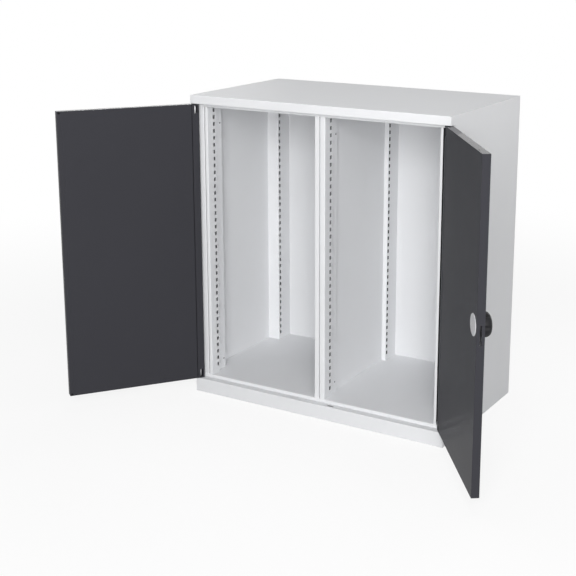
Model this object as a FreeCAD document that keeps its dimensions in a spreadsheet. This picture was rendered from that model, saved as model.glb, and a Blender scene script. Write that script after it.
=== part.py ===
import FreeCAD, Part
import math
import os
from types import SimpleNamespace

import Sketcher

# Two-door sheet-steel cabinet with a partition, eight slotted uprights and a
# three-point rotary lock. The origin is the centre of the footprint on the
# floor, X runs to the right, Y to the back and Z up, in millimetres.
DIMENSIONS = {
    # carcass
    "width": 1000.0,
    "depth": 575.0,
    "height": 1100.0,
    "sheet": 1.5,
    "base_height": 51.0,
    "base_flange": 25.0,
    "base_leg": 40.0,
    "ledge_depth": 47.0,
    "floor_lip": 11.0,
    "top_flange": 30.0,
    "top_lip": 12.0,
    "stop_setback": 30.0,
    "channel_width": 80.0,
    # posts, partition and slotted uprights
    "post_width": 33.5,
    "post_return": 20.0,
    "wall_upright_reach": 48.5,
    "wall_strip": 10.0,
    "partition_offset": 10.0,
    "partition_gap": 4.0,
    "partition_upright_reach": 16.5,
    "slot_face_depth": 53.0,
    "upright_step": 8.0,
    "upright_flange": 45.0,
    "rear_upright_depth": 80.0,
    "slot_spacing": 25.0,
    "slot_width": 10.0,
    "slot_height": 13.0,
    "slot_setback": 38.5,
    "rear_slot_setback": 8.5,
    "slot_end_margin": 30.0,
    # doors
    "door_thickness": 25.0,
    "door_sheet": 1.2,
    "door_meeting_gap": 3.0,
    "door_open_angle": 126.5,
    "free_return": 15.0,
    "hinge_strip": 25.0,
    "strip_seam": 2.0,
    "buffer_radius": 4.0,
    "buffer_thickness": 4.0,
    "buffer_inset": 5.0,
    # pin hinges
    "hinge_inset": 11.0,
    "pin_radius": 4.0,
    "pin_inside": 42.0,
    "pin_outside": 10.0,
    "pin_running_fit": 0.05,
    "pin_hole_clearance": 0.15,
    "bush_wall": 2.0,
    "bush_flange_radius": 8.0,
    "bush_flange_height": 1.5,
    "bush_below": 6.0,
    "hinge_end_play": 0.3,
    "window_width": 10.0,
    "window_height": 26.0,
    "window_end": 6.0,
    "bracket_height": 3.0,
    "bracket_inside": 34.0,
    "bracket_half_depth": 7.0,
    "bracket_reach": 8.0,
    # rotary lock
    "lock_inset": 40.0,
    "lock_height": 570.0,
    "knob_radius": 37.0,
    "knob_height": 26.0,
    "knob_stand_off": 0.5,
    "flute_radius": 9.0,
    "flute_bite": 3.5,
    "spindle_radius": 6.0,
    "spindle_hole_clearance": 2.0,
    "cam_plane": 10.5,
    "cam_thickness": 3.0,
    "cam_radius": 16.5,
    "cam_throw": 11.4,
    "cam_pin_radius": 3.0,
    "cam_pin_start_angle": 45.0,
    "tongue_length": 54.0,
    "tongue_width": 12.0,
    "tongue_angle": 80.0,
    "tongue_slot_height": 58.0,
    "tongue_slot_drop": 50.0,
    "tongue_slot_clearance": 1.5,
    "case_towards_edge": 36.0,
    "case_towards_hinge": 34.0,
    "case_above": 32.0,
    "case_below": 64.0,
    "case_depth": 20.8,
    "case_wall": 1.5,
    "cover_radius": 33.0,
    "cover_thickness": 2.0,
    "cover_hole_radius": 26.0,
    # lock rods
    "rod_inset": 62.0,
    "rod_width": 12.0,
    "rod_thickness": 2.5,
    "rod_gap": 0.75,
    "rod_play": 0.4,
    "rod_end_inset": 2.0,
    "rod_plate_height": 14.0,
    "rod_plate_reach": 6.0,
    "pin_slot_clearance": 1.2,
    "guide_width": 24.0,
    "guide_height": 10.0,
    "guide_inset": 120.0,
    "guide_depth": 22.0,
    "strike_length": 24.0,
    "strike_width": 10.0,
    # cuts reach past the faces by this much
    "overrun": 5.0,
}

# Outline of the knob as shares of its radius and height, and its scallops.
KNOB_SHARES = ((1.0, 0.0), (1.0, 0.5), (0.78, 1.0))
FLUTES = 6


class Size:
    """A length with its value and the sheet formula that it comes from."""

    def __init__(self, value, text):
        self.value = value
        self.text = text

    def __add__(self, other):
        other = size(other)
        return Size(self.value + other.value, "(%s + %s)" % (self.text, other.text))

    def __sub__(self, other):
        other = size(other)
        return Size(self.value - other.value, "(%s - %s)" % (self.text, other.text))

    def __mul__(self, factor):
        return Size(self.value * factor, "(%s * %r)" % (self.text, factor))

    def __truediv__(self, divisor):
        return Size(self.value / divisor, "(%s / %r)" % (self.text, divisor))

    def __neg__(self):
        return self * -1

    __radd__ = __add__
    __rmul__ = __mul__

    def __rsub__(self, other):
        return size(other) - self


def size(value):
    if isinstance(value, Size):
        return value
    return Size(value, repr(value))


doc = FreeCAD.newDocument("cabinet")
sheet_cells = doc.addObject("Spreadsheet::Sheet", "Dims")
for row, (name, value) in enumerate(DIMENSIONS.items(), start=1):
    sheet_cells.set("A%d" % row, name)
    sheet_cells.set("B%d" % row, str(value))
    sheet_cells.setAlias("B%d" % row, name)
doc.recompute()
d = SimpleNamespace(**{name: Size(value, "Dims." + name) for name, value in DIMENSIONS.items()})
ZERO = size(0.0)
NODES = []


def bind(target, path, length):
    length = size(length)
    if length.text != repr(length.value):
        target.setExpression(path, length.text)


def set_size(target, name, length):
    setattr(target, name, size(length).value)
    bind(target, name, length)


def keep(obj, label):
    obj.Label = label
    NODES.append(obj)
    return obj


def plane_of(body, role):
    return [o for o in body.Origin.OriginFeatures if o.Role == role][0]


def sketch_on(body, role, start, shift=(ZERO, ZERO)):
    """Empty sketch on an origin plane, moved along the plane's axis by start."""
    sk = body.newObject("Sketcher::SketchObject", "Sketch")
    sk.AttachmentSupport = [(plane_of(body, role), "")]
    sk.MapMode = "FlatFace"
    along = -size(start) if role == "XZ_Plane" else size(start)
    offset = (size(shift[0]), size(shift[1]), along)
    sk.AttachmentOffset = FreeCAD.Placement(
        FreeCAD.Vector(*[o.value for o in offset]), FreeCAD.Rotation()
    )
    for axis, o in zip("xyz", offset):
        bind(sk, "AttachmentOffset.Base." + axis, o)
    return sk


def draw(sk, outline):
    """Closed outline whose corners all follow the sheet."""
    points = [(size(u), size(v)) for u, v in outline]
    vectors = [FreeCAD.Vector(u.value, v.value, 0) for u, v in points]
    for a, b in zip(vectors, vectors[1:] + vectors[:1]):
        sk.addGeometry(Part.LineSegment(a, b), False)
    count = len(points)
    for i in range(count):
        sk.addConstraint(Sketcher.Constraint("Coincident", i, 2, (i + 1) % count, 1))
    for i, (u, v) in enumerate(points):
        for kind, length in (("DistanceX", u), ("DistanceY", v)):
            c = sk.addConstraint(Sketcher.Constraint(kind, -1, 1, i, 1, length.value))
            bind(sk, "Constraints[%d]" % c, length)
    return sk


def draw_circle(sk, u, v, radius):
    centre = FreeCAD.Vector(size(u).value, size(v).value, 0)
    circle = Part.Circle(centre, FreeCAD.Vector(0, 0, 1), radius.value)
    g = sk.addGeometry(circle, False)
    c = sk.addConstraint(Sketcher.Constraint("Radius", g, radius.value))
    bind(sk, "Constraints[%d]" % c, radius)
    for kind, length in (("DistanceX", size(u)), ("DistanceY", size(v))):
        c = sk.addConstraint(Sketcher.Constraint(kind, -1, 1, g, 3, length.value))
        bind(sk, "Constraints[%d]" % c, length)
    return sk


def extrusion(label, role, outline, start, length, circle=None):
    """Body made by padding one outline along +X, +Y or +Z."""
    body = doc.addObject("PartDesign::Body", "Body")
    sk = sketch_on(body, role, start)
    if circle:
        draw_circle(sk, *circle)
    else:
        draw(sk, outline)
    pad = body.newObject("PartDesign::Pad", "Pad")
    pad.Profile = sk
    set_size(pad, "Length", length)
    pad.Reversed = role == "XZ_Plane"
    return keep(body, label)


def turned(label, outline, x, z):
    """Body turned about an axis along Y through x, z."""
    body = doc.addObject("PartDesign::Body", "Body")
    sk = draw(sketch_on(body, "XY_Plane", z, (x, ZERO)), outline)
    turn = body.newObject("PartDesign::Revolution", "Turn")
    turn.Profile = sk
    turn.ReferenceAxis = (sk, ["V_Axis"])
    turn.Angle = 360
    return keep(body, label)


def cut(body, role, outline, start, length, circle=None, shift=(ZERO, ZERO)):
    """Pocket from start along +X, +Y or +Z."""
    sk = sketch_on(body, role, start, shift)
    if circle:
        draw_circle(sk, *circle)
    else:
        draw(sk, outline)
    pocket = body.newObject("PartDesign::Pocket", "Pocket")
    pocket.Profile = sk
    set_size(pocket, "Length", length)
    pocket.Reversed = role != "XZ_Plane"
    return pocket


def repeat(body, feature, count, pitch):
    """Row of copies of one cut up the Z axis."""
    pattern = body.newObject("PartDesign::LinearPattern", "Row")
    pattern.Originals = [feature]
    pattern.Direction = (plane_of(body, "Z_Axis"), [""])
    pattern.Mode = "Extent"
    set_size(pattern, "Length", pitch * (count - 1))
    pattern.Occurrences = count
    body.Tip = pattern
    return pattern


def rectangle(u0, v0, u1, v1):
    return [(u0, v0), (u1, v0), (u1, v1), (u0, v1)]


def folded(path, thickness):
    """Outline of a sheet bent at right angles along path, on its left side."""
    path = [(size(u), size(v)) for u, v in path]
    steps = []
    for (u0, v0), (u1, v1) in zip(path, path[1:]):
        du = u1.value - u0.value
        dv = v1.value - v0.value
        steps.append((-math.copysign(1, dv), 0) if abs(dv) > abs(du) else (0, math.copysign(1, du)))
    other = []
    for i, (u, v) in enumerate(path):
        before = steps[max(i - 1, 0)]
        after = steps[min(i, len(steps) - 1)]
        nu = before[0] if before == after else before[0] + after[0]
        nv = before[1] if before == after else before[1] + after[1]
        other.append((u + thickness * nu if nu else u, v + thickness * nv if nv else v))
    return path + other[::-1]


def block(x0, y0, z0, x1, y1, z1):
    box = doc.addObject("Part::Box", "Block")
    for name, a, b in (("Length", x0, x1), ("Width", y0, y1), ("Height", z0, z1)):
        set_size(box, name, size(b) - size(a))
    place(box, x0, y0, z0)
    return box


def rod(direction, x, y, z, radius, length):
    """Cylinder from a point along +Z or +Y."""
    cylinder = doc.addObject("Part::Cylinder", "Rod")
    set_size(cylinder, "Radius", radius)
    set_size(cylinder, "Height", length)
    turn = FreeCAD.Rotation(FreeCAD.Vector(1, 0, 0), -90 if direction == "Y" else 0)
    place(cylinder, x, y, z, turn)
    return cylinder


def place(obj, x, y, z, turn=None):
    x, y, z = size(x), size(y), size(z)
    obj.Placement = FreeCAD.Placement(
        FreeCAD.Vector(x.value, y.value, z.value), turn or FreeCAD.Rotation()
    )
    for axis, length in zip("xyz", (x, y, z)):
        bind(obj, "Placement.Base." + axis, length)
    return obj


def fused(parts):
    obj = doc.addObject("Part::MultiFuse", "Joined")
    obj.Shapes = parts
    return obj


def taken(base, tool):
    obj = doc.addObject("Part::Cut", "Cut")
    obj.Base = base
    obj.Tool = tool
    return obj


half = d.width / 2
front = -d.depth / 2
back = d.depth / 2
inside = half - d.sheet
stop = front + d.stop_setback
behind_stop = stop + d.sheet
back_face = back - d.sheet
floor_top = d.base_height + d.floor_lip
roof = d.height - d.sheet
flange_bottom = d.height - d.top_flange

# Base: front rail with the ledge that the doors stand over, side and rear
# angles with feet flanges, and a channel under the middle of the floor.
base_front = extrusion(
    "base_front",
    "YZ_Plane",
    folded(
        [
            (front + d.ledge_depth, d.base_height),
            (front, d.base_height),
            (front, ZERO),
            (front + d.base_flange, ZERO),
        ],
        d.sheet,
    ),
    -inside,
    inside * 2,
)
for label, side in (("base_left_rail", -1), ("base_right_rail", 1)):
    extrusion(
        label,
        "XZ_Plane",
        folded(
            [
                (inside * side, d.base_leg),
                (inside * side, ZERO),
                ((inside - d.base_flange) * side, ZERO),
            ],
            d.sheet * -side,
        ),
        front + d.base_flange,
        back_face - d.base_flange - (front + d.base_flange),
    )
extrusion(
    "base_rear_rail",
    "YZ_Plane",
    folded(
        [
            (back_face, d.base_leg),
            (back_face, ZERO),
            (back_face - d.base_flange, ZERO),
        ],
        -d.sheet,
    ),
    -inside,
    inside * 2,
)
extrusion(
    "floor_channel",
    "XZ_Plane",
    folded(
        [
            (-d.channel_width / 2, floor_top - d.sheet),
            (-d.channel_width / 2, ZERO),
            (d.channel_width / 2, ZERO),
            (d.channel_width / 2, floor_top - d.sheet),
        ],
        d.sheet,
    ),
    front + d.ledge_depth,
    back_face - d.base_flange - (front + d.ledge_depth),
)

# Shell: floor with its front lip, notched sides, back and the top with its
# front flange and door stop.
extrusion(
    "floor_panel",
    "YZ_Plane",
    folded(
        [(back_face, floor_top), (stop, floor_top), (stop, d.base_height)],
        d.sheet,
    ),
    -inside,
    inside * 2,
)
for label, side in (("left_side", -1), ("right_side", 1)):
    extrusion(
        label,
        "YZ_Plane",
        [
            (front, ZERO),
            (back, ZERO),
            (back, d.height),
            (front, d.height),
            (front, flange_bottom),
            (stop, flange_bottom),
            (stop, d.base_height),
            (front, d.base_height),
        ],
        -half if side < 0 else inside,
        d.sheet,
    )
extrusion(
    "back_panel",
    "XZ_Plane",
    rectangle(-inside, ZERO, inside, roof),
    back_face,
    d.sheet,
)
top_panel = extrusion(
    "top_panel",
    "YZ_Plane",
    folded(
        [
            (back, d.height),
            (front, d.height),
            (front, flange_bottom),
            (stop, flange_bottom),
        ],
        d.sheet,
    ),
    -inside,
    inside * 2,
)
extrusion(
    "top_stop_rail",
    "YZ_Plane",
    rectangle(stop, flange_bottom - d.top_lip, behind_stop, roof),
    -inside,
    inside * 2,
)

# Front posts close the sides behind the doors' hinge edges.
for label, side in (("left_front_post", -1), ("right_front_post", 1)):
    extrusion(
        label,
        "XY_Plane",
        folded(
            [
                (inside * side, behind_stop),
                ((inside - d.post_width) * side, behind_stop),
                ((inside - d.post_width) * side, behind_stop + d.post_return),
            ],
            d.sheet * -side,
        ),
        floor_top,
        roof - floor_top,
    )

# Partition: two sheets back to back with a narrow gap.
middle = d.partition_offset
partition_face = d.partition_gap / 2 + d.sheet
for label, side in (("partition_left", -1), ("partition_right", 1)):
    start = middle - partition_face if side < 0 else middle + d.partition_gap / 2
    extrusion(
        label,
        "YZ_Plane",
        rectangle(behind_stop, floor_top, back_face, roof),
        start,
        d.sheet,
    )

# Slotted uprights: formed posts in front, corner posts behind, each with the
# same row of slots for shelf hooks.
slot_first = floor_top + d.slot_end_margin
slot_room = roof - d.slot_end_margin - slot_first
slot_count = int(slot_room.value / d.slot_spacing.value) + 1
for prefix, wall, side, reach, strip in (
    ("left_wall", -inside, 1, d.wall_upright_reach, d.wall_strip),
    ("partition_left", middle - partition_face, -1, d.partition_upright_reach, d.partition_upright_reach),
    ("partition_right", middle + partition_face, 1, d.partition_upright_reach, d.partition_upright_reach),
    ("right_wall", inside, -1, d.wall_upright_reach, d.wall_strip),
):
    face = wall + reach * side
    step = wall + (reach - d.upright_step) * side
    turn = behind_stop + d.slot_face_depth
    end = turn + d.upright_flange
    rear = back_face - d.rear_upright_depth
    front_path = [
        (face - strip * side, behind_stop),
        (face, behind_stop),
        (face, turn),
        (step, turn),
        (step, end),
        (wall, end),
    ]
    rear_path = [(wall, rear), (face, rear), (face, back_face)]
    for where, path, slot_y in (
        ("front", front_path, behind_stop + d.slot_setback),
        ("rear", rear_path, rear + d.rear_slot_setback),
    ):
        upright = extrusion(
            "%s_%s_upright" % (prefix, where),
            "XY_Plane",
            folded(path, d.sheet * side),
            floor_top,
            roof - floor_top,
        )
        slot = cut(
            upright,
            "YZ_Plane",
            rectangle(
                slot_y - d.slot_width / 2,
                slot_first - d.slot_height / 2,
                slot_y + d.slot_width / 2,
                slot_first + d.slot_height / 2,
            ),
            face - d.upright_step / 2,
            d.upright_step,
        )
        repeat(upright, slot, slot_count, d.slot_spacing)

# Pin hinges: flanged bushes in the ledge and in the top flange.
hinge_y = front + d.door_thickness / 2
hinge_x = half - d.hinge_inset
bush_radius = d.pin_radius + d.bush_wall
bore = d.pin_radius + d.pin_running_fit
bushes = []
for side in (-1, 1):
    x = hinge_x * side
    for flange_z, barrel_z, hole in (
        (d.base_height, d.base_height - d.sheet - d.bush_below, base_front),
        (flange_bottom - d.bush_flange_height, flange_bottom, top_panel),
    ):
        body = fused(
            [
                rod("Z", x, hinge_y, flange_z, d.bush_flange_radius, d.bush_flange_height),
                rod("Z", x, hinge_y, barrel_z, bush_radius, d.sheet + d.bush_below),
            ]
        )
        drill_start = d.base_height - d.pin_inside if hole is base_front else flange_bottom - d.pin_inside
        bushes.append(taken(body, rod("Z", x, hinge_y, drill_start, bore, d.pin_inside * 2)))
        sheet_z = d.base_height - d.sheet if hole is base_front else flange_bottom
        cut(
            hole,
            "XY_Plane",
            None,
            sheet_z - d.sheet,
            d.sheet * 3,
            circle=(x, hinge_y, bush_radius + d.pin_hole_clearance),
        )
keep(fused(bushes), "hinge_bushes")

# Doors, written about their hinge axis as if closed and then swung open.
door_width = (d.width - d.door_meeting_gap) / 2
door_bottom = d.base_height + d.bush_flange_height + d.hinge_end_play
door_top = flange_bottom - d.bush_flange_height - d.hinge_end_play
outer = -d.door_thickness / 2
inner = d.door_thickness / 2
skin = d.door_sheet
panel_back = inner - skin

# Places in the door thickness of the lock parts, from the outer face inwards.
cam_y = outer + d.cam_plane
lower_y = cam_y + d.cam_thickness + d.rod_gap
upper_y = lower_y + d.rod_thickness + d.rod_gap
lock_z = d.lock_height
cam_mid = cam_y + d.cam_thickness / 2
slot_low = lock_z - d.tongue_slot_drop
slot_half = d.cam_thickness / 2 + d.tongue_slot_clearance


def swing(obj, side):
    """Put a door piece on its hinge axis, opened to the photographed angle."""
    angle = d.door_open_angle * side
    obj.Placement = FreeCAD.Placement(
        FreeCAD.Vector((hinge_x * side).value, hinge_y.value, 0),
        FreeCAD.Rotation(FreeCAD.Vector(0, 0, 1), angle.value),
    )
    bind(obj, "Placement.Base.x", hinge_x * side)
    bind(obj, "Placement.Base.y", hinge_y)
    bind(obj, "Placement.Rotation.Angle", angle)
    return obj


for prefix, side in (("left", -1), ("right", 1)):
    to_free = -side
    hinge_edge = d.hinge_inset * -to_free
    free_edge = (door_width - d.hinge_inset) * to_free
    strip_end = hinge_edge + d.hinge_strip * to_free
    return_end = free_edge - d.free_return * to_free
    edge_in = skin * to_free

    # Outer pan: one sheet with four turned edges and a return at the free edge.
    pan = extrusion(
        prefix + "_door_pan",
        "XZ_Plane",
        rectangle(hinge_edge, door_bottom, free_edge, door_top),
        outer,
        d.door_thickness,
    )
    cut(
        pan,
        "XZ_Plane",
        rectangle(hinge_edge + edge_in, door_bottom + skin, return_end, door_top - skin),
        outer + skin,
        d.door_thickness + d.overrun,
    )
    cut(
        pan,
        "XZ_Plane",
        rectangle(return_end, door_bottom + skin, free_edge - edge_in, door_top - skin),
        outer + skin,
        d.door_thickness - skin * 2,
    )
    cut(
        pan,
        "YZ_Plane",
        rectangle(cam_mid - slot_half, slot_low, cam_mid + slot_half, slot_low + d.tongue_slot_height),
        free_edge - d.free_return / 2,
        d.free_return,
    )
    for z in (door_bottom, door_top):
        cut(
            pan,
            "XY_Plane",
            None,
            z - d.overrun / 2,
            d.overrun,
            circle=(ZERO, ZERO, d.pin_radius + d.pin_hole_clearance),
        )
    if side > 0:
        lock_x = free_edge - d.lock_inset * to_free
        rod_x = free_edge - d.rod_inset * to_free
        for y, z in ((upper_y, door_top), (lower_y, door_bottom)):
            cut(
                pan,
                "XY_Plane",
                rectangle(
                    rod_x - d.rod_width / 2 - d.rod_play,
                    y - d.rod_play,
                    rod_x + d.rod_width / 2 + d.rod_play,
                    y + d.rod_thickness + d.rod_play,
                ),
                z - d.overrun / 2,
                d.overrun,
            )
        cut(
            pan,
            "XZ_Plane",
            None,
            outer - d.overrun / 2,
            d.overrun,
            circle=(lock_x, lock_z, d.spindle_radius + d.spindle_hole_clearance),
        )
    swing(pan, side)

    # Inner panel and the separate strip along the hinge edge, with a window
    # over each pin.
    panel = extrusion(
        prefix + "_door_panel",
        "XZ_Plane",
        rectangle(
            strip_end + d.strip_seam * to_free,
            door_bottom + skin,
            return_end,
            door_top - skin,
        ),
        panel_back,
        skin,
    )
    if side > 0:
        cut(
            panel,
            "XZ_Plane",
            None,
            panel_back - d.overrun / 2,
            d.overrun,
            circle=(lock_x, lock_z, d.cover_hole_radius),
        )
    swing(panel, side)
    strip_body = extrusion(
        prefix + "_door_hinge_strip",
        "XZ_Plane",
        rectangle(hinge_edge + edge_in, door_bottom + skin, strip_end, door_top - skin),
        panel_back,
        skin,
    )
    window = d.window_width / 2
    for z in (door_bottom + d.window_end, door_top - d.window_end - d.window_height):
        cut(
            strip_body,
            "XZ_Plane",
            rectangle(-window, z, window, z + d.window_height),
            panel_back - d.overrun / 2,
            d.overrun,
        )
    swing(strip_body, side)

    # Hinge pins and the brackets that hold them inside the door.
    pin_length = d.pin_inside + d.pin_outside
    pins = [
        rod("Z", ZERO, ZERO, door_bottom - d.pin_outside, d.pin_radius, pin_length),
        rod("Z", ZERO, ZERO, door_top - d.pin_inside, d.pin_radius, pin_length),
    ]
    swing(keep(fused(pins), prefix + "_hinge_pins"), side)
    brackets = []
    for z in (door_bottom + d.bracket_inside, door_top - d.bracket_inside - d.bracket_height):
        near = (d.hinge_inset - skin) * -1
        x0, x1 = (near, d.bracket_reach) if side < 0 else (-d.bracket_reach, -near)
        plate = block(x0, -d.bracket_half_depth, z, x1, d.bracket_half_depth, z + d.bracket_height)
        hole = rod("Z", ZERO, ZERO, z - d.bracket_height, d.pin_radius + d.pin_hole_clearance, d.bracket_height * 3)
        brackets.append(taken(plate, hole))
    swing(keep(fused(brackets), prefix + "_pin_brackets"), side)

# Rubber buffers at the free corners of the left door.
buffer_x = door_width - d.hinge_inset - d.free_return / 2
swing(
    keep(
        fused(
            [
                rod("Y", buffer_x, inner, z, d.buffer_radius, d.buffer_thickness)
                for z in (door_bottom + d.buffer_inset, door_top - d.buffer_inset)
            ]
        ),
        "left_door_buffers",
    ),
    -1,
)

# Lock case: a folded tray against the outer sheet, open towards the free edge.
case_back = outer + skin
case = extrusion(
    "lock_case",
    "XZ_Plane",
    rectangle(
        lock_x - d.case_towards_edge,
        lock_z - d.case_below,
        lock_x + d.case_towards_hinge,
        lock_z + d.case_above,
    ),
    case_back,
    d.case_depth,
)
cut(
    case,
    "XZ_Plane",
    rectangle(
        lock_x - d.case_towards_edge - d.overrun,
        lock_z - d.case_below + d.case_wall,
        lock_x + d.case_towards_hinge - d.case_wall,
        lock_z + d.case_above - d.case_wall,
    ),
    case_back + d.case_wall,
    d.case_depth + d.overrun,
)
cut(
    case,
    "XZ_Plane",
    None,
    case_back - d.overrun / 2,
    d.overrun,
    circle=(lock_x, lock_z, d.spindle_radius + d.pin_running_fit),
)
for y, z in ((upper_y, lock_z + d.case_above), (lower_y, lock_z - d.case_below)):
    cut(
        case,
        "XY_Plane",
        rectangle(
            rod_x - d.rod_width / 2 - d.rod_play,
            y - d.rod_play,
            rod_x + d.rod_width / 2 + d.rod_play,
            y + d.rod_thickness + d.rod_play,
        ),
        z - d.overrun / 2,
        d.overrun,
    )
swing(case, 1)

# Round cover over the lock, on the inner face.
cover_face = inner + d.cover_thickness
swing(
    turned(
        "lock_cover",
        [
            (ZERO, inner),
            (d.cover_radius, inner),
            (d.cover_radius, cover_face),
            (ZERO, cover_face),
        ],
        lock_x,
        lock_z,
    ),
    1,
)

# Knob: a turned body with a sloped shoulder and a ring of finger scallops.
knob_base = outer - d.knob_stand_off
knob = turned(
    "lock_knob",
    [(ZERO, knob_base)]
    + [
        (d.knob_radius * across_share, knob_base - d.knob_height * up_share)
        for across_share, up_share in KNOB_SHARES
    ]
    + [(ZERO, knob_base - d.knob_height)],
    lock_x,
    lock_z,
)
flute = cut(
    knob,
    "XZ_Plane",
    None,
    knob_base - d.knob_height - d.overrun,
    d.knob_height + d.overrun * 2,
    circle=(d.knob_radius + d.flute_radius - d.flute_bite, ZERO, d.flute_radius),
    shift=(lock_x, lock_z),
)
ring = knob.newObject("PartDesign::PolarPattern", "Ring")
ring.Originals = [flute]
ring.Axis = (flute.Profile[0], ["N_Axis"])
ring.Angle = 360
ring.Occurrences = FLUTES
knob.Tip = ring
swing(knob, 1)

# Spindle through the outer sheet and the case to the cam.
swing(
    extrusion(
        "lock_spindle",
        "XZ_Plane",
        None,
        knob_base,
        cam_y - knob_base,
        circle=(lock_x, lock_z, d.spindle_radius),
    ),
    1,
)

# Cam with a swinging tongue and one driving pin for each rod.
start = math.radians(d.cam_pin_start_angle.value)
across = d.cam_throw * math.cos(start)
rise = d.cam_throw * math.sin(start)
lean = math.radians(d.tongue_angle.value)
tongue_half = d.tongue_width / 2
cam_top = cam_y + d.cam_thickness
tongue = block(ZERO, ZERO, ZERO, d.tongue_length - tongue_half, d.cam_thickness, d.tongue_width)
place(
    tongue,
    lock_x - tongue_half * math.sin(lean),
    cam_y,
    lock_z - tongue_half * math.cos(lean),
    FreeCAD.Rotation(FreeCAD.Vector(0, 1, 0), d.tongue_angle.value),
)
bind(tongue, "Placement.Rotation.Angle", d.tongue_angle)
tip = d.tongue_length - tongue_half
swing(
    keep(
        fused(
            [
                rod("Y", lock_x, cam_y, lock_z, d.cam_radius, d.cam_thickness),
                tongue,
                rod(
                    "Y",
                    lock_x + tip * math.cos(lean),
                    cam_y,
                    lock_z - tip * math.sin(lean),
                    tongue_half,
                    d.cam_thickness,
                ),
                rod("Y", lock_x + across, cam_top, lock_z + rise, d.cam_pin_radius, d.rod_gap + d.rod_thickness),
                rod("Y", lock_x - across, cam_top, lock_z - rise, d.cam_pin_radius, upper_y + d.rod_thickness - cam_top),
            ]
        ),
        "lock_cam",
    ),
    1,
)

# Flat rods, each with a cross-slotted plate over its cam pin.
pin_room = d.cam_pin_radius + d.pin_slot_clearance
rod_side = rod_x + d.rod_width / 2
rod_near = rod_x - d.rod_width / 2
plate_half = d.rod_plate_height / 2
for label, y, pin_z, plate_end, tip_z, near_x, far_x in (
    (
        "upper_rod",
        upper_y,
        lock_z - rise,
        lock_x - d.cam_throw - pin_room - d.rod_plate_reach,
        door_top - d.rod_end_inset,
        lock_x - d.cam_throw - pin_room,
        lock_x - across + pin_room,
    ),
    (
        "lower_rod",
        lower_y,
        lock_z + rise,
        lock_x + across - pin_room - d.rod_plate_reach / 2,
        door_bottom + d.rod_end_inset,
        lock_x + across - pin_room,
        lock_x + d.cam_throw + pin_room,
    ),
):
    up = 1 if label == "upper_rod" else -1
    bar = extrusion(
        label,
        "XZ_Plane",
        [
            (plate_end, pin_z - plate_half * up),
            (rod_side, pin_z - plate_half * up),
            (rod_side, tip_z),
            (rod_near, tip_z),
            (rod_near, pin_z + plate_half * up),
            (plate_end, pin_z + plate_half * up),
        ],
        y,
        d.rod_thickness,
    )
    cut(
        bar,
        "XZ_Plane",
        rectangle(near_x, pin_z - pin_room, far_x, pin_z + pin_room),
        y - d.overrun / 2,
        d.overrun + d.rod_thickness,
    )
    swing(bar, 1)

# Guides that carry the rods near the top and bottom of the door.
guides = []
for y, z in (
    (upper_y, door_top - d.guide_inset),
    (lower_y, door_bottom + d.guide_inset),
):
    carrier = block(
        rod_x - d.guide_width / 2,
        outer + skin,
        z - d.guide_height / 2,
        rod_x + d.guide_width / 2,
        outer + d.guide_depth,
        z + d.guide_height / 2,
    )
    way = block(
        rod_near - d.rod_play,
        y - d.rod_play,
        z - d.guide_height,
        rod_side + d.rod_play,
        y + d.rod_thickness + d.rod_play,
        z + d.guide_height,
    )
    guides.append(taken(carrier, way))
swing(keep(fused(guides), "rod_guides"), 1)

# Strike slots for the rods in the ledge and in the top flange.
strike_x = hinge_x + rod_x
for piece, y, z in (
    (base_front, lower_y, d.base_height - d.sheet),
    (top_panel, upper_y, flange_bottom),
):
    strike_y = hinge_y + y + d.rod_thickness / 2
    cut(
        piece,
        "XY_Plane",
        rectangle(
            strike_x - d.strike_length / 2,
            strike_y - d.strike_width / 2,
            strike_x + d.strike_length / 2,
            strike_y + d.strike_width / 2,
        ),
        z - d.sheet,
        d.sheet * 3,
    )

doc.recompute()
failed = [o.Name for o in doc.Objects if "Invalid" in o.State or "Error" in o.State]
if failed:
    raise RuntimeError("failed objects: " + ", ".join(failed))
for node in NODES:
    if node.Shape.isNull() or not node.Shape.isValid() or not node.Shape.Solids:
        raise RuntimeError("bad shape: " + node.Label)
os.makedirs("parts", exist_ok=True)
for node in NODES:
    node.Shape.exportStep(os.path.join("parts", node.Label + ".step"))
print(len(NODES), "pieces, rod travel", round(2 * rise.value, 4))
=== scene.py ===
import math

import bmesh
import bpy
from mathutils import Matrix, Vector


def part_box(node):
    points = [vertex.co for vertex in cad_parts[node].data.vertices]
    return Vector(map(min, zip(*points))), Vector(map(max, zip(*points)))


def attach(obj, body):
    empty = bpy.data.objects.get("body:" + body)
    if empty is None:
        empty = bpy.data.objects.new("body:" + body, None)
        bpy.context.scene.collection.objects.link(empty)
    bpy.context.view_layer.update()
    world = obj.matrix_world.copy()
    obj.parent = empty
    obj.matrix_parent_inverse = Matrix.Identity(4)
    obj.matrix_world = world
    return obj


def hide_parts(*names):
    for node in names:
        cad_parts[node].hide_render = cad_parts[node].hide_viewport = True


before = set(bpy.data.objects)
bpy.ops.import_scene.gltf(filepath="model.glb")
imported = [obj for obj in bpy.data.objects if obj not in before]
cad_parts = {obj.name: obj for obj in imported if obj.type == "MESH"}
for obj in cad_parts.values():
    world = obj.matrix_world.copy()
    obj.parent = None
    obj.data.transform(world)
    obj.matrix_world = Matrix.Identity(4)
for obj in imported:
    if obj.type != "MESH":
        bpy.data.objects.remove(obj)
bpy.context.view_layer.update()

# Base: the front rail with the ledge that the doors stand over, the side and
# rear angles with their feet flanges, and a channel under the floor. All are
# 1.5 mm sheet steel, folded, spot welded and powder coated light grey.
SHEET = 0.0015
FOLD_OUTSIDE = 0.0024
FOLD_INSIDE = 0.0009
FOLD_SEGMENTS = 3
FOLD_ANGLE = math.radians(40)
SHORTEST_FOLD = 0.006
WIDER_THAN_SHEET = 1.3
SAME_POINT = 0.00001
FLAT_ANGLE = math.radians(1)
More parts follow.
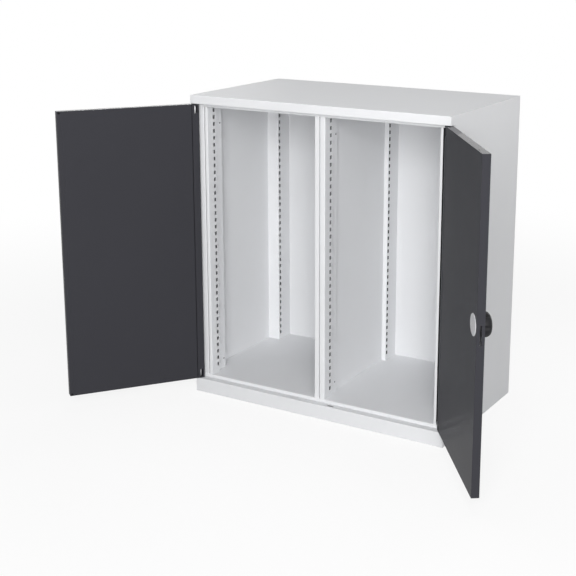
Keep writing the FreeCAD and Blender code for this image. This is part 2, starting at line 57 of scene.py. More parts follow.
SHARP_ANGLE = math.radians(35)


def merged(node):
    """Copy of a solid's triangles, joined up and with its flat faces whole."""
    bm = bmesh.new()
    bm.from_mesh(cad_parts[node].data)
    bmesh.ops.remove_doubles(bm, verts=bm.verts, dist=SAME_POINT)
    bmesh.ops.dissolve_limit(
        bm, angle_limit=FLAT_ANGLE, verts=bm.verts, edges=bm.edges
    )
    return bm


def folds_of(bm, sheet, outside):
    """Bend lines: sharp edges that don't border the cut edge of the sheet."""
    found = []
    for edge in bm.edges:
        if len(edge.link_faces) != 2 or edge.calc_length() < SHORTEST_FOLD:
            continue
        if edge.calc_face_angle(0) < FOLD_ANGLE or edge.is_convex != outside:
            continue
        across = [2 * f.calc_area() / f.calc_perimeter() for f in edge.link_faces]
        if min(across) > WIDER_THAN_SHEET * sheet:
            found.append(edge)
    return found


def rounded_folds(bm, sheet=SHEET, outside=FOLD_OUTSIDE, inside=FOLD_INSIDE):
    """Give every bend its radius, and mark it for the paint."""
    fold = bm.faces.layers.float.new("fold")
    for is_outside, radius in ((True, outside), (False, inside)):
        made = bmesh.ops.bevel(
            bm,
            geom=folds_of(bm, sheet, is_outside),
            offset=radius,
            segments=FOLD_SEGMENTS,
            profile=0.5,
            affect="EDGES",
            clamp_overlap=True,
        )
        for face in made["faces"]:
            face[fold] = 1.0
    return bm


def as_mesh(bm, name):
    """Mesh made from a shape that is then done with."""
    mesh = bpy.data.meshes.new(name)
    bm.to_mesh(mesh)
    bm.free()
    return mesh


def placed(name, data):
    """New object in the scene, at the origin."""
    obj = bpy.data.objects.new(name, data)
    bpy.context.scene.collection.objects.link(obj)
    return obj


def piece(bm, name, body, material, slot, *nodes):
    """Finished piece on its body, standing for its nodes."""
    mesh = as_mesh(bm, name)
    mesh.materials.append(material)
    mesh.shade_smooth()
    mesh.set_sharp_from_angle(angle=SHARP_ANGLE)
    obj = placed(name, mesh)
    shading = obj.modifiers.new("flat_faces_stay_flat", "WEIGHTED_NORMAL")
    shading.keep_sharp = True
    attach(obj, body)
    if nodes:
        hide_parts(*nodes)


class Shade:
    """A value in a node tree that can be used in sums."""

    def __init__(self, tree, socket=None):
        self.tree = tree
        self.socket = socket

    def node(self, kind, settings=None, sockets=None, out=0):
        """Add a node with these settings and inputs, and give one output."""
        made = self.tree.nodes.new(kind)
        for name, value in (settings or {}).items():
            setattr(made, name, value)
        for name, value in (sockets or {}).items():
            if isinstance(value, Shade):
                self.tree.links.new(value.socket, made.inputs[name])
            else:
                made.inputs[name].default_value = value
        return Shade(self.tree, made.outputs[out])

    def sum(self, operation, first, second):
        """Add a Math node on two values."""
        return self.node(
            "ShaderNodeMath", {"operation": operation}, {0: first, 1: second}
        )

    def __add__(self, other):
        return self.sum("ADD", self, other)

    def __sub__(self, other):
        return self.sum("SUBTRACT", self, other)

    def __rsub__(self, other):
        return self.sum("SUBTRACT", other, self)

    def __mul__(self, other):
        return self.sum("MULTIPLY", self, other)

    __radd__ = __add__
    __rmul__ = __mul__


def finish_of(name):
    """Empty material: its start, its place on the piece, and its output."""
    material = bpy.data.materials.new(name)
    material.use_nodes = True
    tree = material.node_tree
    tree.nodes.clear()
    start = Shade(tree)
    place = start.node("ShaderNodeTexCoord", out="Object")
    output = tree.nodes.new("ShaderNodeOutputMaterial")
    return material, start, place, output.inputs["Surface"]


def tint(colour, factor):
    """Colour made lighter or darker, with full alpha."""
    return tuple(min(c * factor, 1.0) for c in colour) + (1.0,)


def share(start, name):
    """Share from 0 to 1 that the shape gives each face under this name."""
    return start.node("ShaderNodeAttribute", {"attribute_name": name}, out="Fac")


def noise(start, place, pattern):
    """Noise on the piece's own coordinates."""
    return start.node("ShaderNodeTexNoise", {}, {"Vector": place, **pattern})


def mixed(start, factor, first, second):
    """Colour between two others."""
    return start.node(
        "ShaderNodeMix",
        {"data_type": "RGBA"},
        {0: factor, 6: first, 7: second},
        out=2,
    )


def bumped(start, strength, depth, height):
    """Normal with a fine relief."""
    return start.node(
        "ShaderNodeBump",
        {},
        {"Strength": strength, "Distance": depth, "Height": height},
    )


def surfaced(start, output, inputs):
    """End a material with this surface."""
    surface = start.node("ShaderNodeBsdfPrincipled", {}, inputs)
    start.tree.links.new(surface.socket, output)


LIGHT_GREY = (0.745, 0.752, 0.767)
# Painted shade: a dark grey put on hollows and slot cuts, where shade falls.
PAINTED_SHADE_GREY = (0.045, 0.045, 0.047, 1.0)
COAT_CLOUDS = {"Scale": 3.2, "Detail": 4.0, "Roughness": 0.6}
COAT_PEEL = {"Scale": 650.0, "Detail": 2.0}
COAT_SPECKS = {"Scale": 2400.0, "Detail": 1.0}
CLOUD_SHARE = 0.75
SPECK_SHARE = 0.25
FOLD_LIGHTER = 0.35
PEEL_ROUGHER = 0.12
CLOUD_ROUGHER = 0.1
FOLD_SMOOTHER = 0.05
FULL_RELIEF = 1.0
SKIN_ROUGHNESS = 0.03
NOISE_MEAN = 0.5


def powder_coat(name, colour, gloss, peel, spread, specular, skin):
    """Stoved powder paint: fine orange peel, faint clouds, thin on bends, and
    painted shade: a dark grey on faces marked as hollows, for the shade there."""
    material, start, place, output = finish_of(name)
    fold = share(start, "fold")
    painted_shade = share(start, "painted_shade")
    polish = share(start, "polish")
    clouds = noise(start, place, COAT_CLOUDS)
    grain = noise(start, place, COAT_PEEL)
    specks = noise(start, place, COAT_SPECKS)
    tone = clouds * CLOUD_SHARE + specks * SPECK_SHARE + fold * FOLD_LIGHTER
    paint = mixed(start, tone, tint(colour, 1.0 - spread), tint(colour, 1.0 + spread))
    rough = (
        gloss
        + (grain - NOISE_MEAN) * PEEL_ROUGHER
        + (clouds - NOISE_MEAN) * CLOUD_ROUGHER
        - fold * FOLD_SMOOTHER
    )
    surfaced(
        start,
        output,
        {
            # Painted shade: faces marked as hollows take the dark grey instead of the
            # paint.
            "Base Color": mixed(start, painted_shade, paint, PAINTED_SHADE_GREY),
            "Roughness": rough,
            "Normal": bumped(start, FULL_RELIEF, peel, grain),
            "Specular IOR Level": specular,
            "Coat Weight": skin + polish * (1.0 - skin),
            "Coat Roughness": SKIN_ROUGHNESS,
        },
    )
    return material


body_paint = powder_coat(
    "light_grey_powder_coat",
    LIGHT_GREY,
    gloss=0.55,
    peel=0.00003,
    spread=0.03,
    specular=0.18,
    skin=0.0,
)


def body_sheet(bm, node, kind="sheet"):
    """Finished sheet of the carcass."""
    piece(bm, "%s_%s" % (node, kind), "carcass", body_paint, "body_paint", node)


for node in (
    "base_front",
    "base_left_rail",
    "base_right_rail",
    "base_rear_rail",
    "floor_channel",
):
    body_sheet(rounded_folds(merged(node)), node)

# Shell: floor with its front lip, notched sides, plain back, and the top with
# its front flange and stop rail. Folded 1.5 mm sheet, spot welded at the seams
# and powder coated with the base. The strips of the sides behind the uprights
# get painted shade, a dark grey for the shade that falls there.
STRIP_INSET = 0.002
TOUCHING = 0.0005


def covered(bm, wall):
    """Mark the strips of a wall behind its uprights for painted shade."""
    strips = [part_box("%s_%s_upright" % (wall, end)) for end in ("front", "rear")]
    for low, high in strips:
        for edge in (low.y + STRIP_INSET, high.y - STRIP_INSET):
            bmesh.ops.bisect_plane(
                bm,
                geom=bm.verts[:] + bm.edges[:] + bm.faces[:],
                plane_co=(0.0, edge, 0.0),
                plane_no=(0.0, 1.0, 0.0),
            )
    # Painted shade: the strips behind the uprights are marked for the dark grey.
    painted_shade = bm.faces.layers.float.new("painted_shade")
    for face in bm.faces:
        middle = face.calc_center_median()
        for low, high in strips:
            behind = low.y + STRIP_INSET < middle.y < high.y - STRIP_INSET
            away = min(abs(middle.x - low.x), abs(middle.x - high.x))
            if behind and away < TOUCHING:
                face[painted_shade] = 1.0
    return bm


for node, wall in (
    ("floor_panel", None),
    ("left_side", "left_wall"),
    ("right_side", "right_wall"),
    ("back_panel", None),
    ("top_panel", None),
    ("top_stop_rail", None),
):
    sheet = rounded_folds(merged(node))
    body_sheet(covered(sheet, wall) if wall else sheet, node)

# Spot welds that hold the back: shallow round marks in even rows, with the
# paint over them.
WELD_RADIUS = 0.003
WELD_RISE = 0.00025
WELD_INSET = 0.012
WELD_SPACING = 0.085
WELD_SEGMENTS = 12
WELD_RINGS = 6
ROW_INPUTS = (
    ("Start", "NodeSocketVector"),
    ("End", "NodeSocketVector"),
    ("Count", "NodeSocketInt"),
    ("Finish", "NodeSocketMaterial"),
)


def row_tree(name, *inputs):
    """Tree for a row of copies: its start, its named inputs and its points."""
    tree = bpy.data.node_groups.new(name, "GeometryNodeTree")
    inputs = ROW_INPUTS + inputs
    for label, kind in inputs:
        tree.interface.new_socket(name=label, in_out="INPUT", socket_type=kind)
    tree.interface.new_socket(
        name="Geometry", in_out="OUTPUT", socket_type="NodeSocketGeometry"
    )
    start = Shade(tree)
    group = tree.nodes.new("NodeGroupInput")
    given = {label: Shade(tree, group.outputs[label]) for label, _ in inputs}
    points = start.node(
        "GeometryNodeMeshLine",
        {"mode": "END_POINTS"},
        {
            "Count": given["Count"],
            "Start Location": given["Start"],
            "Offset": given["End"],
        },
    )
    return start, given, points


def close_tree(start, copies, finish):
    """Realize the copies, give them their finish and hand them out."""
    real = start.node("GeometryNodeRealizeInstances", {}, {0: copies})
    finished = start.node(
        "GeometryNodeSetMaterial", {}, {"Geometry": real, "Material": finish}
    )
    output = start.tree.nodes.new("NodeGroupOutput")
    start.tree.links.new(finished.socket, output.inputs[0])


def grown(tree, values):
    """Plain mesh made by a tree with these values."""
    holder = placed("holder", bpy.data.meshes.new("holder"))
    rows = holder.modifiers.new("rows", "NODES")
    rows.node_group = tree
    for item in tree.interface.items_tree:
        if item.in_out == "INPUT" and item.name in values:
            rows[item.identifier] = values[item.name]
    graph = bpy.context.evaluated_depsgraph_get()
    mesh = bpy.data.meshes.new_from_object(
        holder.evaluated_get(graph), depsgraph=graph
    )
    holder.modifiers.remove(rows)
    bpy.data.objects.remove(holder)
    return mesh


def joined(meshes):
    """One shape from several meshes."""
    bm = bmesh.new()
    for mesh in meshes:
        bm.from_mesh(mesh)
    return bm


start, given, points = row_tree(
    "weld_row", ("Radius", "NodeSocketFloat"), ("Flatten", "NodeSocketVector")
)
ball = start.node(
    "GeometryNodeMeshUVSphere",
    {},
    {"Segments": WELD_SEGMENTS, "Rings": WELD_RINGS, "Radius": given["Radius"]},
)
spot = start.node(
    "GeometryNodeTransform", {}, {"Geometry": ball, "Scale": given["Flatten"]}
)
copies = start.node(
    "GeometryNodeInstanceOnPoints", {}, {"Points": points, "Instance": spot}
)
close_tree(start, copies, given["Finish"])

low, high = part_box("back_panel")
left, right = low.x + WELD_INSET, high.x - WELD_INSET
bottom, top = low.z + WELD_INSET, high.z - WELD_INSET
row_left, row_right = low.x + WELD_SPACING, high.x - WELD_SPACING
upright_length = high.z - low.z
level_length = row_right - row_left
welds = [
    grown(
        start.tree,
        {
            "Start": (x0, high.y, z0),
            "End": (x1, high.y, z1),
            "Count": int(length / WELD_SPACING),
            "Radius": WELD_RADIUS,
            "Flatten": (1.0, WELD_RISE / WELD_RADIUS, 1.0),
            "Finish": body_paint,
        },
    )
    for x0, z0, x1, z1, length in (
        (left, bottom, left, top, upright_length),
        (right, bottom, right, top, upright_length),
        (row_left, bottom, row_right, bottom, level_length),
        (row_left, top, row_right, top, level_length),
    )
]
piece(joined(welds), "back_welds", "carcass", body_paint, "body_paint")

# Posts and partition: the front posts behind the doors' hinge edges, and two
# sheets back to back between the compartments. Folded sheet steel, welded to
# the shell and coated with it.
for node in ("left_front_post", "right_front_post"):
    body_sheet(rounded_folds(merged(node)), node)
for node in ("partition_left", "partition_right"):
    # The strips of each partition sheet behind its uprights get painted shade.
    body_sheet(covered(rounded_folds(merged(node)), node), node)

# Slotted uprights: eight, roll formed from sheet with a row of punched slots
# for shelf hooks, and coated with the shell. Their hollow sides, towards the
# walls, and the cut faces of the slots get painted shade: a dark grey for the
# shade that falls in them.
SLOT_CUT_AREA = 0.00003
SIDEWAYS = 0.5
WALL_SIDES = {
    "left_wall": -1,
    "partition_left": 1,
    "partition_right": -1,
    "right_wall": 1,
}
for wall, toward in WALL_SIDES.items():
    for end in ("front", "rear"):
        node = "%s_%s_upright" % (wall, end)
        upright = rounded_folds(merged(node))
        painted_shade = upright.faces.layers.float.new("painted_shade")
        fold = upright.faces.layers.float["fold"]
        upright.normal_update()
        # Painted shade: wall-facing sides and slot cut faces are marked for the dark
        # grey.
        for face in upright.faces:
            inside = face.normal.x * toward > SIDEWAYS
            small = face.calc_area() < SLOT_CUT_AREA and not face[fold]
            if inside or (small and abs(face.normal.x) < SIDEWAYS):
                face[painted_shade] = 1.0
        body_sheet(upright, node, "formed")

# Rivets that fix the front uprights: flat heads with a sunk mandrel, one near
# each end of the flange behind the slots.
RIVET_RADIUS = 0.0035
RIVET_RISE = 0.0011
RIVET_STEPS = 16
RIVET_COUNT = 2
RIVET_FROM_FOOT = 0.036
RIVET_FROM_HEAD = 0.1095
RIVET_FROM_REAR = 0.012
FLANGE_SET_BACK = 0.008
QUARTER_TURN = math.radians(90)
RIVET_OUTLINE = (
    (1.0, 0.0),
    (0.96, 0.55),
    (0.7, 1.0),
    (0.42, 1.0),
    (0.38, 0.2),
    (0.0, 0.2),
)


def ringed(bm, rings):
    """Close a stack of rings, the last of them a point, into a solid."""
    for low, high in zip(rings, rings[1:]):
        for i in range(len(low)):
            j = (i + 1) % len(low)
            if len(high) == 1:
                bm.faces.new((low[i], low[j], high[0]))
            else:
                bm.faces.new((low[i], low[j], high[j], high[i]))
    bm.faces.new(rings[0][::-1])
    bmesh.ops.recalc_face_normals(bm, faces=bm.faces)
    return bm


def spun(outline, steps, radius, height):
    """Closed turned solid about Z from shares of its radius and height."""
    bm = bmesh.new()
    rings = []
    for across, up in outline:
        ring = []
        for i in range(steps if across else 1):
            angle = math.tau * i / steps
            x = radius * across * math.cos(angle)
            y = radius * across * math.sin(angle)
            ring.append(bm.verts.new((x, y, height * up)))
        rings.append(ring)
    return ringed(bm, rings)


ZINC_SPANGLE = 420.0
ZINC_SCUFFS = {"Scale": 160.0, "Detail": 5.0, "Roughness": 0.7}
ZINC_DARKER = 0.86
ZINC_LIGHTER = 1.1
DARK_BLUENESS = 1.02
LIGHT_BLUENESS = 1.03
SPANGLE_SHARE = 0.6
SCUFF_SHARE = 0.4
SPANGLE_ROUGHER = 0.12
SCUFF_ROUGHER = 0.2
SCUFF_RELIEF = 0.6
SCUFF_DEPTH = 0.00002


def zinc(name, tone, gloss):
    """Zinc plate: metallic, with a faint spangle and fine scuffs."""
    material, start, place, output = finish_of(name)
    spangle = start.node(
        "ShaderNodeTexVoronoi",
        {"feature": "F1"},
        {"Vector": place, "Scale": ZINC_SPANGLE},
        out="Color",
    )
    grey = start.node("ShaderNodeSeparateColor", {}, {"Color": spangle}, out=0)
    scuffs = noise(start, place, ZINC_SCUFFS)
    metal = mixed(
        start,
        grey * SPANGLE_SHARE + scuffs * SCUFF_SHARE,
        tint((tone, tone, tone * DARK_BLUENESS), ZINC_DARKER),
        tint((tone, tone, tone * LIGHT_BLUENESS), ZINC_LIGHTER),
    )
    rough = gloss + grey * SPANGLE_ROUGHER + (scuffs - NOISE_MEAN) * SCUFF_ROUGHER
    surfaced(
        start,
        output,
        {
            "Base Color": metal,
            "Metallic": 1.0,
            "Roughness": rough,
            "Normal": bumped(start, SCUFF_RELIEF, SCUFF_DEPTH, scuffs),
        },
    )
    return material


rivet_steel = zinc("rivet_steel", tone=0.34, gloss=0.42)
rivet_head = placed(
    "rivet_head",
    as_mesh(spun(RIVET_OUTLINE, RIVET_STEPS, RIVET_RADIUS, RIVET_RISE), "rivet_head"),
)
start, given, points = row_tree(
    "rivet_pair", ("Head", "NodeSocketObject"), ("Turn", "NodeSocketRotation")
)
shape = start.node(
    "GeometryNodeObjectInfo", {}, {"Object": given["Head"]}, out="Geometry"
)
copies = start.node(
    "GeometryNodeInstanceOnPoints",
    {},
    {"Points": points, "Instance": shape, "Rotation": given["Turn"]},
)
close_tree(start, copies, given["Finish"])
rivets = []
for wall, toward in WALL_SIDES.items():
    low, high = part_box(wall + "_front_upright")
    flange = low.x + FLANGE_SET_BACK if toward > 0 else high.x - FLANGE_SET_BACK
    depth = high.y - RIVET_FROM_REAR
    pair = grown(
        start.tree,
        {
            "Start": (flange, depth, low.z + RIVET_FROM_FOOT),
            "End": (flange, depth, high.z - RIVET_FROM_HEAD),
            "Count": RIVET_COUNT,
            "Head": rivet_head,
            "Turn": (0.0, -toward * QUARTER_TURN, 0.0),
            "Finish": rivet_steel,
        },
    )
    rivets.append(pair)
bpy.data.objects.remove(rivet_head)
piece(joined(rivets), "upright_rivets", "carcass", rivet_steel, "zinc_steel")

# Hinge bushes: four, flanged, that the door pins turn in. They are moulded
# nylon, pressed into the ledge and the top flange.
BUSH_EDGE = 0.0003
BUSH_GREY = (0.09, 0.09, 0.095)
EASED_ANGLE = math.radians(45)
EASED_SEGMENTS = 2
PLASTIC_FLOW = {"Scale": 35.0, "Detail": 2.0}
PLASTIC_DETAIL = 3.0
PLASTIC_SPREAD = 0.07
FLOW_SHARE = 0.7
GRAIN_SHARE = 0.3
GRAIN_ROUGHER = 0.25
FLOW_ROUGHER = 0.1
GRAIN_RELIEF = 0.8


def eased(bm, width):
    """Break every sharp edge of a piece."""
    sharp = [
        edge
        for edge in bm.edges
        if len(edge.link_faces) == 2 and edge.calc_face_angle(0) > EASED_ANGLE
    ]
    bmesh.ops.bevel(
        bm,
        geom=sharp,
        offset=width,
        segments=EASED_SEGMENTS,
        profile=0.5,
        affect="EDGES",
        clamp_overlap=True,
    )
    return bm


def moulded(name, colour, gloss, grain_size, depth, specular=0.5):
    """Moulded plastic or rubber: fine grain with slow changes of tone."""
    material, start, place, output = finish_of(name)
    grain = noise(start, place, {"Scale": grain_size, "Detail": PLASTIC_DETAIL})
    flow = noise(start, place, PLASTIC_FLOW)
    plastic = mixed(
        start,
        flow * FLOW_SHARE + grain * GRAIN_SHARE,
        tint(colour, 1.0 - PLASTIC_SPREAD),
        tint(colour, 1.0 + PLASTIC_SPREAD),
    )
    rough = (
        gloss
        + (grain - NOISE_MEAN) * GRAIN_ROUGHER
        + (flow - NOISE_MEAN) * FLOW_ROUGHER
    )
    surfaced(
        start,
        output,
        {
            "Base Color": plastic,
            "Roughness": rough,
            "Normal": bumped(start, GRAIN_RELIEF, depth, grain),
            "Specular IOR Level": specular,
        },
    )
    return material


bush_nylon = moulded(
    "bush_nylon", BUSH_GREY, gloss=0.5, grain_size=1500.0, depth=0.00002
)
piece(
    eased(merged("hinge_bushes"), BUSH_EDGE),
    "hinge_bushes_moulded",
    "carcass",
    bush_nylon,
    "bush_plastic",
    "hinge_bushes",
)

# Doors: two, each a folded outer pan with an inner panel and a narrow strip
# along the hinge edge. 1.2 mm sheet steel, welded and coated anthracite. The
# coat flows to a higher gloss on the upper edges.
DOOR_SHEET = 0.0012
DOOR_FOLD_OUTSIDE = 0.002
DOOR_FOLD_INSIDE = 0.0008
SEAM_EDGE = 0.0005
UPWARD = 0.9
UPPER_POLISH = 0.6
ANTHRACITE = (0.0375, 0.0375, 0.044)
door_paint = powder_coat(
    "anthracite_powder_coat",
    ANTHRACITE,
    gloss=0.45,
    peel=0.000004,
    spread=0.05,
    specular=0.03,
    skin=0.12,
)
for side in ("left", "right"):
    for part in ("door_pan", "door_panel", "door_hinge_strip"):
        node = "%s_%s" % (side, part)
        sheet = rounded_folds(
            merged(node), DOOR_SHEET, DOOR_FOLD_OUTSIDE, DOOR_FOLD_INSIDE
        )
        if part != "door_pan":
            sheet = eased(sheet, SEAM_EDGE)
        polish = sheet.faces.layers.float.new("polish")
        sheet.normal_update()
        for face in sheet.faces:
            face[polish] = UPPER_POLISH if face.normal.z > UPWARD else 0.0
        piece(
            sheet, node + "_sheet", side + "_door", door_paint, "door_paint", node
        )

# Hinge pins: round drawn steel that the doors turn on, and the pressed plates
# that hold them inside the doors' corners. Both are zinc plated.
PIN_EDGE = 0.0006
PLATE_EDGE = 0.0004
zinc_plate = zinc("zinc_plate", tone=0.62, gloss=0.26)


def plated(node, body, edge, kind="plated"):
    """Finished steel piece with its edges broken and its zinc on."""
    piece(
        eased(merged(node), edge),
        "%s_%s" % (node, kind),
        body,
        zinc_plate,
        "zinc_steel",
        node,
    )


for side in ("left", "right"):
    plated(side + "_hinge_pins", side + "_door", PIN_EDGE)
    plated(side + "_pin_brackets", side + "_door", PLATE_EDGE)

# Buffers: two round ones at the left door's free corners, which soften its
# stop. Black rubber, moulded with a low dome and glued to the return.
BUFFER_OUTLINE = (
    (1.0, 0.0),
    (1.0, 0.4),
    (0.93, 0.66),
    (0.76, 0.86),
    (0.5, 0.96),
    (0.0, 1.0),
)
BUFFER_RADIUS = 0.004
BUFFER_RISE = 0.004
BUFFER_STEPS = 24
BUFFER_FROM_HINGE = 0.480
BUFFER_INSET = 0.005
RUBBER_BLACK = (0.006, 0.006, 0.0065)
DOOR_HALF = 0.0125
DOOR_OPEN = math.radians(126.5)
DOOR_SWING = {"left": -DOOR_OPEN, "right": DOOR_OPEN}
INWARD = -QUARTER_TURN
OUTWARD = QUARTER_TURN


def on_door(side, place, tip):
    """Where a shape that points up goes on a door: tipped, and swung open."""
    low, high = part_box(side + "_hinge_pins")
    hinge = Matrix.Translation(((low.x + high.x) / 2, (low.y + high.y) / 2, 0.0))
    swing = Matrix.Rotation(DOOR_SWING[side], 4, "Z")
    return hinge @ swing @ Matrix.Translation(place) @ Matrix.Rotation(tip, 4, "X")


rubber = moulded(
    "black_rubber",
    RUBBER_BLACK,
    gloss=0.7,
    grain_size=900.0,
    depth=0.00004,
    specular=0.15,
)
low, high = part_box("left_door_pan")
domes = []
for height in (low.z + BUFFER_INSET, high.z - BUFFER_INSET):
    dome = spun(BUFFER_OUTLINE, BUFFER_STEPS, BUFFER_RADIUS, BUFFER_RISE)
    dome.transform(on_door("left", (BUFFER_FROM_HINGE, DOOR_HALF, height), INWARD))
    domes.append(as_mesh(dome, "buffer"))
piece(
    joined(domes),
    "left_door_buffers_moulded",
    "left_door",
    rubber,
    "rubber",
    "left_door_buffers",
)

# Lock inside the door: case, rod guides, flat rods, cam and spindle, of pressed
# or turned steel, zinc plated. They sit in the right door's hollow, and the
# rods' ends show at its top and bottom.
for node in ("lock_case", "rod_guides"):
    plated(node, "right_door", PLATE_EDGE, "pressed")
for node, body in (
    ("upper_rod", "upper_rod"),
    ("lower_rod", "lower_rod"),
    ("lock_spindle", "lock"),
    ("lock_cam", "lock"),
):
    plated(node, body, PLATE_EDGE)

# Lock cover: a round one on the inner face of the right door. Moulded light
# plastic with a raised rim, clipped into the hole over the lock.
COVER_RISE = 0.002
COVER_STEPS = 96
COVER_OUTLINE = (
    (1.0, 0.0),
    (1.0, 0.5),
    (0.985, 0.8),
    (0.955, 0.97),
    (0.92, 1.0),
    (0.88, 0.9),
    (0.85, 0.72),
    (0.5, 0.78),
    (0.0, 0.82),
)
COVER_GREY = (0.64, 0.64, 0.66)
LOCK_FROM_HINGE = 0.4475
cover_plastic = moulded(
    "cover_plastic", COVER_GREY, gloss=0.42, grain_size=1200.0, depth=0.00001
)
low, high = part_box("lock_cover")
cover_radius = (high.z - low.z) / 2
lock_height = (high.z + low.z) / 2
cover = spun(COVER_OUTLINE, COVER_STEPS, cover_radius, COVER_RISE)
cover.transform(on_door("right", (-LOCK_FROM_HINGE, DOOR_HALF, lock_height), INWARD))
piece(
    cover,
    "lock_cover_moulded",
    "right_door",
    cover_plastic,
    "cover_plastic",
    "lock_cover",
)

# Knob: a rotary one on the right door's outer face, fixed to the lock's
# spindle. Moulded black plastic, domed, with six finger scallops round its rim.
KNOB_RISE = 0.026
KNOB_GAP = 0.0005
KNOB_STEPS = 180
FLUTES = 6
FLUTE_RADIUS = 0.009
FLUTE_CENTRE = 0.0425
FLUTE_BLEND = 0.0009
KNOB_BLACK = (0.008, 0.0077, 0.009)
KNOB_OUTLINE = (
    (0.965, 0.0),
    (0.99, 0.015),
    (1.0, 0.05),
    (1.0, 0.2),
    (1.0, 0.36),
    (0.988, 0.47),
    (0.962, 0.57),
    (0.925, 0.66),
    (0.875, 0.745),
    (0.81, 0.82),
    (0.73, 0.88),
    (0.62, 0.925),
    (0.48, 0.96),
    (0.33, 0.982),
    (0.16, 0.995),
    (0.0, 1.0),
)
low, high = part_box("lock_knob")
knob_radius = (high.z - low.z) / 2


def rim(angle):
    """How far out the nearest scallop lets the knob reach at this angle."""
    step = math.tau / FLUTES
    off = abs((angle + step / 2) % step - step / 2)
    reach = FLUTE_CENTRE * math.sin(off)
    if reach >= FLUTE_RADIUS:
        return knob_radius * 2
    return FLUTE_CENTRE * math.cos(off) - math.sqrt(FLUTE_RADIUS**2 - reach**2)


def blended(first, second):
    """The smaller of two radii, with a rounded change from one to the other."""
    mix = max(min(0.5 + 0.5 * (second - first) / FLUTE_BLEND, 1.0), 0.0)
    return second + (first - second) * mix - FLUTE_BLEND * mix * (1.0 - mix)


knob = bmesh.new()
rings = []
for across, up in KNOB_OUTLINE:
    ring = []
    for i in range(KNOB_STEPS if across else 1):
        angle = math.tau * i / KNOB_STEPS
        r = blended(knob_radius * across, rim(angle))
        x, y = r * math.cos(angle), r * math.sin(angle)
        ring.append(knob.verts.new((x, y, KNOB_RISE * up)))
    rings.append(ring)
ringed(knob, rings)
knob_place = (-LOCK_FROM_HINGE, -DOOR_HALF - KNOB_GAP, lock_height)
knob.transform(on_door("right", knob_place, OUTWARD))
knob_plastic = moulded(
    "knob_plastic",
    KNOB_BLACK,
    gloss=0.5,
    grain_size=1400.0,
    depth=0.00002,
    specular=0.2,
)
piece(knob, "lock_knob_moulded", "lock", knob_plastic, "knob_plastic", "lock_knob")

# Floor and light: a plain pale studio floor with a white ground behind it, and
# large soft panels. The floor looks white and keeps a faint soft shadow.
FLOOR_SIZE = 60.0
FLOOR_LIT = (0.55, 0.55, 0.55, 1.0)
FLOOR_SEEN = (0.94, 0.94, 0.94, 1.0)
WHITE = (1.0, 1.0, 1.0, 1.0)
SHADOW_SHARE = 0.16
SHADOW_NEAR = 1.2
SHADOW_FAR = 3.6


def seen_directly(start):
    """1 for rays that show the ground itself, 0 for those that light the object."""
    path = start.node("ShaderNodeLightPath", out="Is Camera Ray")
    for name in ("Is Glossy Ray", "Is Transmission Ray"):
        path = path + start.node("ShaderNodeLightPath", out=name)
    return start.node("ShaderNodeClamp", {}, {"Value": path})


floor_bm = bmesh.new()
bmesh.ops.create_grid(floor_bm, x_segments=1, y_segments=1, size=FLOOR_SIZE / 2)
floor = placed("studio_floor", as_mesh(floor_bm, "studio_floor"))
floor_paint, start, place, output = finish_of("studio_floor_paint")
away = start.node(
    "ShaderNodeVectorMath", {"operation": "LENGTH"}, {0: place}, out="Value"
)
lightness = start.node(
    "ShaderNodeMapRange",
    {"interpolation_type": "SMOOTHSTEP"},
    {
        "Value": away,
        "From Min": SHADOW_NEAR,
        "From Max": SHADOW_FAR,
        "To Min": 1.0 - SHADOW_SHARE,
        "To Max": 1.0,
    },
)
seen = seen_directly(start)
matt = start.node(
    "ShaderNodeBsdfDiffuse", {}, {"Color": mixed(start, seen, FLOOR_LIT, FLOOR_SEEN)}
)
white = start.node("ShaderNodeEmission", {}, {"Color": WHITE, "Strength": 1.0})
ground = start.node(
    "ShaderNodeMixShader", {}, {0: seen * lightness, 1: matt, 2: white}
)
start.tree.links.new(ground.socket, output)
floor.data.materials.append(floor_paint)

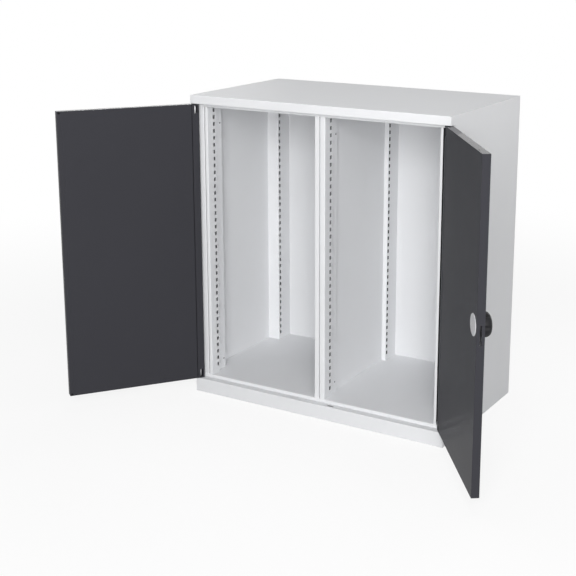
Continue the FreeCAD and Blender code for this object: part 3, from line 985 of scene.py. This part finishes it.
WORLD_LIGHT = 0.07
world = bpy.data.worlds.new("studio")
world.use_nodes = True
world.node_tree.nodes.clear()
start = Shade(world.node_tree)
strength = WORLD_LIGHT + seen_directly(start) * (1.0 - WORLD_LIGHT)
around = start.node(
    "ShaderNodeBackground", {}, {"Color": WHITE, "Strength": strength}
)
output = world.node_tree.nodes.new("ShaderNodeOutputWorld")
world.node_tree.links.new(around.socket, output.inputs["Surface"])
bpy.context.scene.world = world

# Name, place, aim, width in metres and power in watts of each panel.
PANELS = (
    ("key_panel", (3.6, -5.2, 1.1), (0.0, 0.0, 0.6), 2.0, 110.0),
    ("middle_panel", (2.2, -5.0, 2.3), (0.0, 0.0, 0.6), 2.0, 152.0),
    ("high_panel", (2.4, -4.4, 3.9), (0.0, 0.0, 0.5), 3.0, 92.0),
    ("overhead_panel", (0.0, 0.2, 4.6), (0.0, 0.0, 1.0), 3.0, 56.0),
    ("right_panel", (5.6, -1.2, 1.6), (0.0, 0.0, 0.6), 2.4, 34.0),
    ("rear_left_panel", (-4.2, 4.4, 0.9), (0.0, 0.0, 0.6), 1.6, 110.0),
    ("rear_panel", (0.8, 6.2, 0.9), (0.0, 0.0, 0.6), 1.6, 130.0),
)
for name, stand, aim, width, power in PANELS:
    lamp = bpy.data.lights.new(name, "AREA")
    lamp.shape = "SQUARE"
    lamp.size = width
    lamp.energy = power
    panel = placed(name, lamp)
    panel.location = stand
    facing = (Vector(aim) - Vector(stand)).to_track_quat("-Z", "Y")
    panel.rotation_euler = facing.to_euler()

# Camera: a long lens from the right and above. The photograph's image centre
# lies far above the object, and a small shift stands for that.
LENS_PIXELS = 1198.457
FRAME_PIXELS = 576
SENSOR_WIDTH = 36.0
CAMERA_PLACE = (2.019566, -3.654257, 1.646083)
CAMERA_DOWN = 13.344
CAMERA_TURN = 31.022
CAMERA_SHIFT = (-0.04, -0.12)
camera = bpy.data.cameras.new("camera")
camera.sensor_width = SENSOR_WIDTH
camera.lens = LENS_PIXELS * SENSOR_WIDTH / FRAME_PIXELS
camera.shift_x, camera.shift_y = CAMERA_SHIFT
viewer = placed("camera", camera)
viewer.location = CAMERA_PLACE
viewer.rotation_euler = (
    math.radians(90.0 - CAMERA_DOWN),
    0.0,
    math.radians(CAMERA_TURN),
)
bpy.context.scene.camera = viewer
bpy.context.scene.view_settings.view_transform = "Standard"
